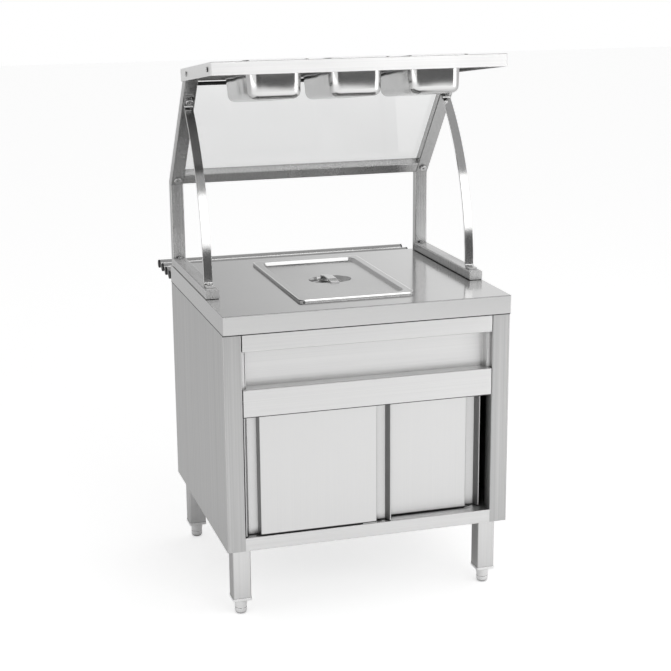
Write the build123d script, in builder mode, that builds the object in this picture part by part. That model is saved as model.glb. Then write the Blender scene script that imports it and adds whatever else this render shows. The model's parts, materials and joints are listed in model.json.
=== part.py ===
"""Stainless serving counter: a cupboard with two sliding doors under a worktop that holds one
covered gastronorm pan, and above it a raked glass screen with a tilted shelf of three small pans.
Millimetres, +Z up. X runs along the front, -Y is the server's side with the doors and +Y is the
customer's side with the tray slide. The origin is on the floor under the middle of the whole."""

import os
from math import cos, radians, sin

from build123d import *

os.makedirs("parts", exist_ok=True)

# Worktop and sheet metal
width = 800
worktop_depth = 700
worktop_height = 850
worktop_edge = 50
worktop_lip = 15
sheet = 1.5
bend = 2
joint_gap = 2
hat_place = 250
hat_width = 80
hat_depth = 25
hat_foot = 20

# Cupboard
front_inset = 6.5
rear_inset = 5
cabinet_height = 600
stile_width = 50
stile_return = 38
rear_fold = 20
floor_height = 37

# Bands across the front, from the worktop down
top_band_height = 50
top_band_flange = 15
recess_height = 102
recess_end_inset = 11
recess_end_depth = 24
fascia_upstand = 15
lower_band_height = 74
ledge_depth = 64
divider_skirt = 15

# Sliding doors
door_width = 408.5
door_thickness = 25
door_skin = 1.2
door_bend = 1
door_setback = 3.5
door_pitch = 33
floor_gap = 2.5
ridge = 2.5
ridge_slope = 9
grip_width = 26
grip_slope = 5
grip_depth = 18
door_back_fold = 12
liner_gap = 0.5
right_door_open = 16

# Door running gear
roller_inset = 60
roller_radius = 11
groove_radius = 8
groove_width = 2.5
roller_width = 7
roller_bore = 2.6
roller_pin = 2.5
roller_seat = 0.3
roller_drop = 19
roller_gap = 0.3
rail_lip = 5.5
hanger_width = 24
hanger_plate = 2
hanger_offset = 9
hanger_clearance = 6
pin_head_radius = 4
pin_head = 1
web_gap = 1
guide_slot = 8
guide_fin = 6
guide_length = 20
guide_height = 8
guide_base = 2

# Legs and feet
leg_size = 50
leg_wall = 2
leg_corner = 4
leg_side_inset = 20
leg_front_inset = 33.5
leg_rear_inset = 15
leg_plate = 70
leg_plate_thickness = 3
foot_height = 50
foot_collar = 9
collar_overhang = 1
foot_barrel = 23.5
barrel_top_radius = 18
barrel_bottom_radius = 16
foot_radius = 16.5
foot_sole_radius = 11
foot_round = 8
foot_arc = 8.8
foot_seat = 0.3
stem_radius = 5
stem_clearance = 0.1
stem_length = 45
plug_length = 30

# Pans to the gastronorm sizes, and the lid
gn_long = 530
gn_short = 325
gn_third = 176
rim = 12.5
rim_corner = 16
rim_thickness = 1
rim_drop = 2.5
pan_wall = 1
pan_depth = 100
pan_corner = 34
pan_taper = 4
pan_base_round = 20
well_clearance = 1.5
well_shift_x = -6
well_shift_y = 8
lid_border = 19
lid_corner = 26
lid_sink = 9
lid_taper = 52
dish_length = 125
dish_width = 90
dish_corner = 44
dish_depth = 14
dish_taper = 25
handle_width = 24
handle_thickness = 3
handle_rise = 4
handle_seat = 9

# Tube frame over the worktop
tube_width = 38
tube_depth = 25
tube_wall = 1.5
tube_corner = 3
gasket = 1
base_front = 207
post_rear = 687
post_height = 245
lean = 39

# Tilted shelf
shelf_depth = 392
shelf_skirt = 34
shelf_lip = 12
shelf_tilt = 6.7
shelf_height = 617.5
shelf_place = 256.5
pan_pitch = 219
arm_setback = 22

# Glass screen
glass_thickness = 6
glass_side_gap = 3
glass_top_gap = 3
glass_foot = 4
glass_corner = 4

# Curved flat braces
brace_width = 24
brace_thickness = 6
brace_place = 261
brace_foot_length = 31
brace_junction = 318
brace_tab = 40
brace_sagitta = 50
brace_bend = 8

# Tray slide on the customer's side
tray_tubes = 4
tray_tube_radius = 12.5
tray_tube_wall = 1.5
tray_seat = 0.1
tray_first = 35
tray_pitch = 57
tray_drop = 38
cap_thickness = 5
bracket_thickness = 4
bracket_place = 300
bracket_height = 90
bracket_tip = 22
bracket_flange = 30
bracket_overrun = 6

# Fasteners
bolt_radius = 4
hole_clearance = 0.25
head_radius = 7
head_height = 4
big_head_radius = 10.5
big_head_height = 6
socket_radius = 3
nut_radius = 7
nut_height = 6
screw_radius = 3
screw_head_radius = 6.5
screw_head_height = 3
screw_length = 10
head_chamfer = 1
brace_bolt_place = 340
kink_bolt_place = 20
glass_screw_place = 360
shelf_screw_front = 37.5
shelf_screw_rear = 82.5
base_bolt_front = 245
base_bolt_rear = 653
bracket_bolt_drop = 20
bracket_bolt_pitch = 45

# Places that follow from the sizes above
overall_depth = worktop_depth + tray_first + (tray_tubes - 1) * tray_pitch + tray_tube_radius
front = -overall_depth / 2
middle = front + worktop_depth / 2
rear = front + worktop_depth
side = width / 2
inner_side = side - sheet
worktop_bottom = worktop_height - worktop_edge
cabinet_bottom = worktop_bottom - cabinet_height
cabinet_front = front + front_inset
cabinet_rear = rear - rear_inset
back_sheet = cabinet_rear - sheet
floor_top = cabinet_bottom + floor_height
opening_side = side - stile_width
band_side = opening_side - joint_gap
top_band_bottom = worktop_bottom - top_band_height
ledge_top = top_band_bottom - recess_height
recess_front = cabinet_front + stile_return
ledge_rear = cabinet_front + ledge_depth
tube_x = inner_side - tube_width / 2
tray_height = worktop_height - tray_drop
bracket_bolt_x = bracket_place - bracket_thickness / 2 - bracket_flange / 2
bracket_top = worktop_bottom - joint_gap
bracket_bolt_levels = (
    bracket_top - bracket_bolt_drop,
    bracket_top - bracket_bolt_drop - bracket_bolt_pitch,
)
base_top = worktop_height + gasket + tube_depth

# Worktop: a sheet turned down on four sides, with a lip under the edge
with BuildPart() as worktop:
    with BuildSketch(Plane.XY.offset(worktop_bottom)):
        with Locations((0, middle)):
            Rectangle(width, worktop_depth)
    extrude(amount=worktop_edge)
    fillet(worktop.edges().filter_by(Axis.Z), radius=bend)
    fillet(worktop.faces().sort_by(Axis.Z)[-1].edges(), radius=bend)
    offset(amount=-sheet, openings=worktop.faces().sort_by(Axis.Z)[0])
    with BuildSketch(Plane.XY.offset(worktop_bottom)):
        with Locations((0, middle)):
            Rectangle(width - sheet, worktop_depth - sheet)
            Rectangle(width - 2 * worktop_lip, worktop_depth - 2 * worktop_lip, mode=Mode.SUBTRACT)
    extrude(amount=sheet)
    with BuildSketch(Plane.XY.offset(worktop_height)):
        with Locations((well_shift_x, middle + well_shift_y)):
            RectangleRounded(
                gn_short - 2 * rim + 2 * well_clearance,
                gn_long - 2 * rim + 2 * well_clearance,
                pan_corner + well_clearance,
            )
        for bolt_y in (front + base_bolt_front, front + base_bolt_rear):
            with Locations((-tube_x, bolt_y), (tube_x, bolt_y)):
                Circle(bolt_radius + hole_clearance)
    extrude(amount=-sheet, mode=Mode.SUBTRACT)
worktop.part.label = "worktop"
export_step(worktop.part, "parts/worktop.step")

# Two hat sections that stiffen the worktop beside the well
hat_top = worktop_height - sheet
with BuildPart() as worktop_stiffeners:
    with BuildSketch(Plane.XZ.offset(-(rear - worktop_lip))):
        for hat_x in (-hat_place, hat_place):
            with BuildLine():
                FilletPolyline(
                    (hat_x - hat_width / 2 - hat_foot, hat_top - sheet / 2),
                    (hat_x - hat_width / 2, hat_top - sheet / 2),
                    (hat_x - hat_width / 2, hat_top - hat_depth),
                    (hat_x + hat_width / 2, hat_top - hat_depth),
                    (hat_x + hat_width / 2, hat_top - sheet / 2),
                    (hat_x + hat_width / 2 + hat_foot, hat_top - sheet / 2),
                    radius=bend,
                )
            trace(line_width=sheet)
    extrude(amount=worktop_depth - 2 * worktop_lip)
worktop_stiffeners.part.label = "worktop_stiffeners"
export_step(worktop_stiffeners.part, "parts/worktop_stiffeners.step")

# Side panels, folded round the front corners into stiles and at the back into a flange
panel_fold = [
    (-side + rear_fold, cabinet_rear - sheet / 2),
    (-side + sheet / 2, cabinet_rear - sheet / 2),
    (-side + sheet / 2, cabinet_front + sheet / 2),
]
with BuildPart() as left_side_panel:
    with BuildSketch(Plane.XY.offset(cabinet_bottom)):
        with BuildLine():
            FilletPolyline(*panel_fold, (-opening_side, cabinet_front + sheet / 2), radius=bend)
        trace(line_width=sheet)
    extrude(amount=floor_height)
    with BuildSketch(Plane.XY.offset(floor_top)):
        with BuildLine():
            FilletPolyline(
                *panel_fold,
                (-opening_side - sheet / 2, cabinet_front + sheet / 2),
                (-opening_side - sheet / 2, recess_front),
                radius=bend,
            )
        trace(line_width=sheet)
    extrude(amount=worktop_bottom - floor_top)
left_side_panel.part.label = "left_side_panel"
export_step(left_side_panel.part, "parts/left_side_panel.step")

with BuildPart() as right_side_panel:
    mirror(left_side_panel.part, about=Plane.YZ)
right_side_panel.part.label = "right_side_panel"
export_step(right_side_panel.part, "parts/right_side_panel.step")

# Cupboard floor, turned down all round, with the bottom rail flush between the stiles
with BuildPart() as floor_panel:
    with BuildSketch(Plane.XY.offset(cabinet_bottom)):
        with Locations((0, (cabinet_front + cabinet_rear) / 2)):
            Rectangle(2 * inner_side, cabinet_rear - cabinet_front - 2 * sheet)
    extrude(amount=floor_height)
    fillet(floor_panel.edges().filter_by(Axis.Z), radius=bend)
    offset(amount=-sheet, openings=floor_panel.faces().sort_by(Axis.Z)[0])
    with BuildSketch(Plane.XY.offset(cabinet_bottom)):
        with Locations((0, cabinet_front + sheet / 2)):
            Rectangle(2 * opening_side, sheet)
    extrude(amount=floor_height)
    fillet(floor_panel.edges().filter_by(Axis.X).group_by(Axis.Y)[0].sort_by(Axis.Z)[-1], radius=sheet)
floor_panel.part.label = "floor_panel"
export_step(floor_panel.part, "parts/floor_panel.step")

# Back panel, inside the rear flanges
with BuildPart() as rear_panel:
    with BuildSketch(Plane.XZ.offset(-back_sheet)):
        with Locations((0, (floor_top + worktop_bottom) / 2)):
            Rectangle(2 * (inner_side - bend), worktop_bottom - floor_top)
        for level in bracket_bolt_levels:
            with Locations((-bracket_bolt_x, level), (bracket_bolt_x, level)):
                Circle(screw_radius + hole_clearance, mode=Mode.SUBTRACT)
    extrude(amount=sheet)
rear_panel.part.label = "rear_panel"
export_step(rear_panel.part, "parts/rear_panel.step")

# Divider between the well compartment and the cupboard
with BuildPart() as divider_panel:
    with BuildSketch(Plane.XY.offset(ledge_top)):
        with Locations((0, (ledge_rear + back_sheet - sheet) / 2)):
            Rectangle(2 * inner_side, back_sheet - sheet - ledge_rear)
    extrude(amount=-divider_skirt)
    offset(amount=-sheet, openings=divider_panel.faces().sort_by(Axis.Z)[0])
divider_panel.part.label = "divider_panel"
export_step(divider_panel.part, "parts/divider_panel.step")

# Bands across the front, each a sheet folded in side view
with BuildPart() as top_band:
    with BuildSketch(Plane.YZ.offset(-band_side)):
        with BuildLine():
            FilletPolyline(
                (cabinet_front + top_band_flange, worktop_bottom - sheet / 2),
                (cabinet_front + sheet / 2, worktop_bottom - sheet / 2),
                (cabinet_front + sheet / 2, top_band_bottom + sheet / 2),
                (recess_front, top_band_bottom + sheet / 2),
                radius=bend,
            )
        trace(line_width=sheet)
    extrude(amount=2 * band_side)
top_band.part.label = "top_band"
export_step(top_band.part, "parts/top_band.step")

with BuildPart() as lower_band:
    with BuildSketch(Plane.YZ.offset(-band_side)):
        with BuildLine():
            FilletPolyline(
                (cabinet_front + sheet / 2, ledge_top - lower_band_height),
                (cabinet_front + sheet / 2, ledge_top - sheet / 2),
                (ledge_rear, ledge_top - sheet / 2),
                radius=bend,
            )
        trace(line_width=sheet)
    extrude(amount=2 * band_side)
lower_band.part.label = "lower_band"
export_step(lower_band.part, "parts/lower_band.step")

# Recessed fascia: a shallow tray whose ends come forward beside the stiles
fascia_side = opening_side - recess_end_inset
with BuildPart() as fascia_panel:
    with BuildSketch(Plane.XY.offset(ledge_top)):
        with BuildLine():
            FilletPolyline(
                (-fascia_side + sheet / 2, recess_front - recess_end_depth),
                (-fascia_side + sheet / 2, recess_front + sheet / 2),
                (fascia_side - sheet / 2, recess_front + sheet / 2),
                (fascia_side - sheet / 2, recess_front - recess_end_depth),
                radius=bend,
            )
        trace(line_width=sheet)
    extrude(amount=recess_height)
    with BuildSketch(Plane.XY.offset(top_band_bottom)):
        with Locations((0, recess_front + sheet / 2)):
            Rectangle(2 * (fascia_side - bend), sheet)
    extrude(amount=fascia_upstand)
fascia_panel.part.label = "fascia_panel"
export_step(fascia_panel.part, "parts/fascia_panel.step")

# Door planes: the left door runs in front and the right door behind it
door_bottom = floor_top + floor_gap
axle_height = ledge_top - sheet - roller_drop
rail_top = axle_height - groove_radius - roller_seat
rail_bottom = rail_top - rail_lip
door_top = rail_bottom - hanger_clearance - hanger_plate
door_height = door_top - door_bottom
left_door_front = cabinet_front + door_setback
right_door_front = left_door_front + door_pitch
left_door_x = -band_side + door_width / 2
right_door_x = band_side - right_door_open - door_width / 2
plate_rear = hanger_offset + hanger_plate
roller_middle = plate_rear + roller_gap + roller_width / 2
pin_end = plate_rear + roller_width + 2 * roller_gap
web_middle = pin_end + pin_head + web_gap + sheet / 2

# Top track: a hanging rail for each door under a common flange
with BuildPart() as door_track:
    with BuildSketch(Plane.YZ.offset(joint_gap - band_side)):
        for door_front in (left_door_front, right_door_front):
            with BuildLine():
                FilletPolyline(
                    (door_front + roller_middle, rail_top),
                    (door_front + roller_middle, rail_bottom + sheet / 2),
                    (door_front + web_middle, rail_bottom + sheet / 2),
                    (door_front + web_middle, ledge_top - sheet),
                    radius=sheet,
                )
            trace(line_width=sheet)
        with Locations((left_door_front, ledge_top - sheet)):
            Rectangle(ledge_rear - left_door_front, sheet, align=(Align.MIN, Align.MAX))
    extrude(amount=2 * (band_side - joint_gap))
door_track.part.label = "door_track"
export_step(door_track.part, "parts/door_track.step")

# Nylon guide on the floor, with a fin up into each door
with BuildPart() as door_guide:
    with BuildSketch(Plane.XY.offset(floor_top)):
        with Locations((0, left_door_front)):
            Rectangle(2 * guide_length, door_pitch + door_thickness, align=(Align.CENTER, Align.MIN))
    extrude(amount=guide_base)
    with BuildSketch(Plane.XY.offset(floor_top + guide_base)):
        for door_front in (left_door_front, right_door_front):
            with Locations((0, door_front + door_thickness / 2)):
                Rectangle(guide_length, guide_fin)
    extrude(amount=guide_height)
door_guide.part.label = "door_guide"
export_step(door_guide.part, "parts/door_guide.step")


def make_door(name, door_x, door_front):
    """The pressed skin, the liner that closes its back and ends, the two hangers and the rollers."""
    half = door_width / 2
    wall = door_skin / 2
    grip_start = half - ridge - ridge_slope
    grip_end = grip_start - grip_width
    panel_side = grip_end - grip_slope
    with BuildPart() as skin:
        with BuildSketch(Plane((door_x, door_front, door_bottom))):
            with BuildLine():
                FilletPolyline(
                    (-half + door_back_fold, door_thickness - wall),
                    (-half + wall, door_thickness - wall),
                    (-half + wall, wall),
                    (-half + ridge, wall),
                    (-grip_start, grip_depth + wall),
                    (-grip_end, grip_depth + wall),
                    (-panel_side, wall),
                    (0, wall),
                    radius=door_bend,
                )
                mirror(about=Plane.YZ)
            trace(line_width=door_skin)
        extrude(amount=door_height)
    skin.part.label = f"{name}_skin"
    export_step(skin.part, f"parts/{name}_skin.step")

    # The liner's caps follow the inside of the skin, and the lower one is slotted for the guide
    cap_side = half - door_skin - liner_gap
    cap_back = door_thickness - door_skin
    cap_floor = grip_depth + door_skin + liner_gap
    cap_front = door_skin + liner_gap
    cap_step = grip_end - door_skin - liner_gap
    with BuildPart() as liner:
        for level in (0, door_height - door_skin):
            with BuildSketch(Plane((door_x, door_front, door_bottom + level))):
                with BuildLine():
                    Polyline(
                        (0, cap_back),
                        (-cap_side, cap_back),
                        (-cap_side, cap_floor),
                        (-cap_step, cap_floor),
                        (-cap_step + grip_slope, cap_front),
                        (0, cap_front),
                    )
                    mirror(about=Plane.YZ)
                make_face()
            extrude(amount=door_skin)
        with BuildSketch(Plane((door_x, door_front, door_bottom))):
            with Locations((0, cap_back)):
                Rectangle(2 * cap_side, door_skin, align=(Align.CENTER, Align.MAX))
        extrude(amount=door_height)
        with BuildSketch(Plane((door_x, door_front, door_bottom))):
            with Locations((0, door_thickness / 2)):
                Rectangle(2 * (cap_step - guide_slot), guide_slot)
        extrude(amount=door_skin, mode=Mode.SUBTRACT)
    liner.part.label = f"{name}_liner"
    export_step(liner.part, f"parts/{name}_liner.step")

    roller_x = (door_x - half + roller_inset, door_x + half - roller_inset)
    with BuildPart() as hangers:
        for x in roller_x:
            with BuildSketch(Plane.YZ.offset(x - hanger_width / 2)):
                with Locations((door_front + plate_rear, door_top)):
                    Rectangle(plate_rear - cap_front, hanger_plate, align=(Align.MAX, Align.MIN))
                    Rectangle(
                        hanger_plate,
                        axle_height - door_top + roller_radius,
                        align=(Align.MAX, Align.MIN),
                    )
            extrude(amount=hanger_width)
            pin = Plane((x, door_front + plate_rear, axle_height), x_dir=(1, 0, 0), z_dir=(0, 1, 0))
            with BuildSketch(pin):
                Circle(roller_pin)
            extrude(amount=pin_end - plate_rear)
            with BuildSketch(pin.offset(pin_end - plate_rear)):
                Circle(pin_head_radius)
            extrude(amount=pin_head)
    hangers.part.label = f"{name}_hangers"
    export_step(hangers.part, f"parts/{name}_hangers.step")

    for place, x in zip(("left", "right"), roller_x):
        hub = Plane((x, door_front + roller_middle, axle_height), x_dir=(0, 1, 0), z_dir=(1, 0, 0))
        with BuildPart() as roller:
            with BuildSketch(hub):
                with BuildLine():
                    Polyline(
                        (-roller_width / 2, roller_bore),
                        (-roller_width / 2, roller_radius),
                        (-groove_width, roller_radius),
                        (-groove_width / 2, groove_radius),
                        (groove_width / 2, groove_radius),
                        (groove_width, roller_radius),
                        (roller_width / 2, roller_radius),
                        (roller_width / 2, roller_bore),
                        close=True,
                    )
                make_face()
            revolve(axis=Axis(hub.origin, (0, 1, 0)))
        roller.part.label = f"{name}_roller_{place}"
        export_step(roller.part, f"parts/{name}_roller_{place}.step")


make_door("left_door", left_door_x, left_door_front)
make_door("right_door", right_door_x, right_door_front)

# Square legs welded under the floor, and their turning feet
leg_x = side - leg_side_inset - leg_size / 2
leg_rows = {
    "front": cabinet_front + leg_front_inset + leg_size / 2,
    "rear": cabinet_rear - leg_rear_inset - leg_size / 2,
}
leg_top = floor_top - sheet
leg_bore = leg_size - 2 * leg_wall
barrel_bottom = foot_height - foot_collar - foot_barrel
foot_top = barrel_bottom - foot_seat
insert_solids = []
for row, leg_y in leg_rows.items():
    for hand, x in (("left", -leg_x), ("right", leg_x)):
        with BuildPart() as leg:
            with BuildSketch(Plane((x, leg_y, foot_height))):
                RectangleRounded(leg_size, leg_size, leg_corner)
                RectangleRounded(leg_bore, leg_bore, leg_corner - leg_wall, mode=Mode.SUBTRACT)
            extrude(amount=leg_top - foot_height)
            with BuildSketch(Plane((x, leg_y, leg_top))):
                Rectangle(leg_plate, leg_plate)
            extrude(amount=-leg_plate_thickness)
        leg.part.label = f"leg_{row}_{hand}"
        export_step(leg.part, f"parts/leg_{row}_{hand}.step")

        # The insert: a collar under the tube, a plug inside it and a tapered barrel below
        with BuildPart() as insert:
            collar = leg_size + 2 * collar_overhang
            with BuildSketch(Plane((x, leg_y, foot_height))):
                RectangleRounded(collar, collar, leg_corner + collar_overhang)
            extrude(amount=-foot_collar)
            fillet(insert.faces().sort_by(Axis.Z)[0].edges(), radius=foot_collar / 3)
            with BuildSketch(Plane((x, leg_y, foot_height))):
                RectangleRounded(leg_bore, leg_bore, leg_corner - leg_wall)
            extrude(amount=plug_length)
            with BuildSketch(Plane((x, leg_y, barrel_bottom))):
                Circle(barrel_bottom_radius)
            with BuildSketch(Plane((x, leg_y, foot_height - foot_collar))):
                Circle(barrel_top_radius)
            loft()
            with BuildSketch(Plane((x, leg_y, barrel_bottom))):
                Circle(stem_radius + stem_clearance)
            extrude(amount=foot_barrel + foot_collar + plug_length, mode=Mode.SUBTRACT)
        insert_solids.append(insert.part)

        with BuildPart() as foot:
            with BuildSketch(Plane((x, leg_y, 0), x_dir=(1, 0, 0), z_dir=(0, -1, 0))):
                with BuildLine():
                    Line((0, 0), (foot_sole_radius, 0))
                    RadiusArc(
                        (foot_sole_radius, 0),
                        (foot_radius, foot_round),
                        -foot_arc,
                    )
                    Polyline(
                        (foot_radius, foot_round),
                        (foot_radius, foot_top),
                        (stem_radius, foot_top),
                        (stem_radius, barrel_bottom + stem_length),
                        (0, barrel_bottom + stem_length),
                        (0, 0),
                    )
                make_face()
            revolve(axis=Axis((x, leg_y, 0), (0, 0, 1)))
        foot.part.label = f"foot_{row}_{hand}"
        export_step(foot.part, f"parts/foot_{row}_{hand}.step")
with BuildPart() as foot_inserts:
    add(insert_solids)
foot_inserts.part.label = "foot_inserts"
export_step(foot_inserts.part, "parts/foot_inserts.step")


def pressed_tub(across, along, depth, corner, taper, base_round):
    """A solid with tapered walls and a rounded base that hangs below its own XY plane."""
    with BuildPart() as tub:
        with BuildSketch():
            RectangleRounded(across, along, corner)
        extrude(amount=-depth, taper=taper)
        fillet(tub.faces().sort_by(Axis.Z)[0].edges(), radius=base_round)
    return tub.part


def pressed_rim(across, along):
    """A flat rim with a turned-down edge whose foot is on its own XY plane."""
    with BuildPart() as edge:
        with BuildSketch():
            RectangleRounded(across, along, rim_corner)
        extrude(amount=rim_drop + rim_thickness)
        with BuildSketch():
            RectangleRounded(
                across - 2 * rim_thickness,
                along - 2 * rim_thickness,
                rim_corner - rim_thickness,
            )
        extrude(amount=rim_drop, mode=Mode.SUBTRACT)
    return edge.part


def gastronorm_pan(across, along):
    """A pan whose rim stands on its own XY plane and whose body hangs below it."""
    rim_top = Pos(0, 0, rim_drop + rim_thickness)
    outside = pressed_tub(
        across - 2 * rim, along - 2 * rim, pan_depth, pan_corner, pan_taper, pan_base_round
    )
    inside = pressed_tub(
        across - 2 * (rim + pan_wall),
        along - 2 * (rim + pan_wall),
        pan_depth - pan_wall,
        pan_corner - pan_wall,
        pan_taper,
        pan_base_round - pan_wall,
    )
    return pressed_rim(across, along) + rim_top * outside - rim_top * inside


# The pan in the worktop's well
well_plane = Plane((well_shift_x, middle + well_shift_y, worktop_height))
well_body = gastronorm_pan(gn_short, gn_long)
with BuildPart() as well_pan:
    add(well_plane * well_body)
well_pan.part.label = "well_pan"
export_step(well_pan.part, "parts/well_pan.step")

# Its lid: a rim, a sunken panel with sloping walls and a dish for the hand
lid_plane = well_plane.offset(rim_drop + rim_thickness)
lid_panel_short = gn_short - 2 * lid_border
lid_panel_long = gn_long - 2 * lid_border
lid_outside = pressed_tub(lid_panel_short, lid_panel_long, lid_sink, lid_corner, lid_taper, rim_thickness)
lid_inside = pressed_tub(
    lid_panel_short - 2 * pan_wall,
    lid_panel_long - 2 * pan_wall,
    lid_sink - pan_wall,
    lid_corner - pan_wall,
    lid_taper,
    rim_thickness / 2,
)
dish_outside = pressed_tub(
    dish_length, dish_width, dish_depth, dish_corner, dish_taper, dish_depth / 4
)
dish_inside = pressed_tub(
    dish_length - 2 * pan_wall,
    dish_width - 2 * pan_wall,
    dish_depth - pan_wall,
    dish_corner - pan_wall,
    dish_taper,
    dish_depth / 4 - pan_wall,
)
lid_rim = pressed_rim(gn_short, gn_long)
lid_top = Pos(0, 0, rim_drop + rim_thickness)
panel_top = Pos(0, 0, rim_drop + rim_thickness - lid_sink + pan_wall)
with BuildPart() as lid:
    add(lid_plane * (lid_rim + lid_top * lid_outside + panel_top * dish_outside))
    add(lid_plane * (lid_top * lid_inside + panel_top * dish_inside), mode=Mode.SUBTRACT)
lid.part.label = "lid"
export_step(lid.part, "parts/lid.step")

# The strap across the dish
panel_height = lid_plane.origin.Z + rim_drop + rim_thickness - lid_sink + pan_wall
strap_reach = dish_width / 2 + handle_seat
strap_middle = lid_plane.origin.Y
with BuildPart() as lid_handle:
    with BuildSketch(Plane.YZ.offset(well_shift_x - handle_width / 2)):
        with BuildLine():
            FilletPolyline(
                (strap_middle - strap_reach, panel_height + handle_thickness / 2),
                (strap_middle - dish_width / 2 + handle_seat / 2, panel_height + handle_thickness / 2),
                (strap_middle - dish_width / 4, panel_height + handle_rise + handle_thickness / 2),
                (strap_middle + dish_width / 4, panel_height + handle_rise + handle_thickness / 2),
                (strap_middle + dish_width / 2 - handle_seat / 2, panel_height + handle_thickness / 2),
                (strap_middle + strap_reach, panel_height + handle_thickness / 2),
                radius=handle_seat,
            )
        trace(line_width=handle_thickness)
    extrude(amount=handle_width)
lid_handle.part.label = "lid_handle"
export_step(lid_handle.part, "parts/lid_handle.step")

# Planes of the frame: the kink where post and upright meet, the slope above it and the shelf
slope = Vector(0, -sin(radians(lean)), cos(radians(lean)))
outward = Vector(0, cos(radians(lean)), sin(radians(lean)))
kink = Vector(0, front + post_rear - tube_depth, worktop_height + post_height)
server_face = Plane(kink, x_dir=(1, 0, 0), z_dir=outward * -1)
rake = Plane(kink, x_dir=(1, 0, 0), z_dir=slope)
mitre = Plane(kink, x_dir=(1, 0, 0), z_dir=(0, -sin(radians(lean / 2)), cos(radians(lean / 2))))
shelf_plane = Plane(
    (0, front + shelf_place, worktop_height + shelf_height),
    x_dir=(1, 0, 0),
    z_dir=(0, sin(radians(shelf_tilt)), cos(radians(shelf_tilt))),
)
arm_underside = shelf_plane.offset(-sheet - tube_depth)
shelf_underside = shelf_plane.offset(-shelf_skirt)
shelf_run = Vector(0, cos(radians(shelf_tilt)), -sin(radians(shelf_tilt)))


def tube_section(plane, x):
    """The frame's rectangular tube, with its inner face open, drawn from the plane's X axis."""
    with BuildSketch(plane) as section:
        with Locations((x, tube_depth / 2)):
            RectangleRounded(tube_width, tube_depth, tube_corner)
            RectangleRounded(
                tube_width - 2 * tube_wall,
                tube_depth - 2 * tube_wall,
                tube_corner - tube_wall,
                mode=Mode.SUBTRACT,
            )
    return section.sketch


def slope_distance(depth_from_face, clearance):
    """How far up the slope a line at this depth meets the shelf's underside, less a clearance."""
    start = kink + outward * depth_from_face
    drop = (shelf_underside.origin - start).dot(shelf_underside.z_dir) - clearance
    return drop / slope.dot(shelf_underside.z_dir)


def shelf_side_view(run, level):
    """Y and Z of a point beside the shelf, from its middle along its depth and up from its top."""
    point = shelf_plane.origin + shelf_run * run + shelf_plane.z_dir * level
    return (point.Y, point.Z)


post_y = front + post_rear - tube_depth
glass_top = slope_distance(tube_depth + glass_thickness, glass_top_gap)
base_length = post_rear - tube_depth - base_front
base_back = Plane((0, post_y, worktop_height + gasket), x_dir=(1, 0, 0), z_dir=(0, -1, 0))
base_bolt_places = (front + base_bolt_front, front + base_bolt_rear)
arm_start = Plane(
    shelf_plane.origin - shelf_plane.z_dir * (sheet + tube_depth) + shelf_run * (shelf_depth / 2 - bend),
    x_dir=(1, 0, 0),
    z_dir=shelf_run * -1,
)
shelf_screw_places = [
    shelf_side_view(run, -shelf_skirt / 2)
    for run in (shelf_screw_front - shelf_depth / 2, shelf_depth / 2 - shelf_screw_rear)
]

# Thin seals that the frame stands on
with BuildPart() as base_gaskets:
    with BuildSketch(Plane.XY.offset(worktop_height)):
        with Locations(
            (-tube_x, front + (base_front + post_rear) / 2),
            (tube_x, front + (base_front + post_rear) / 2),
        ):
            Rectangle(tube_width - tube_corner, post_rear - base_front - tube_corner)
        for bolt_y in base_bolt_places:
            with Locations((-tube_x, bolt_y), (tube_x, bolt_y)):
                Circle(bolt_radius + hole_clearance, mode=Mode.SUBTRACT)
    extrude(amount=gasket)
base_gaskets.part.label = "base_gaskets"
export_step(base_gaskets.part, "parts/base_gaskets.step")

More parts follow.
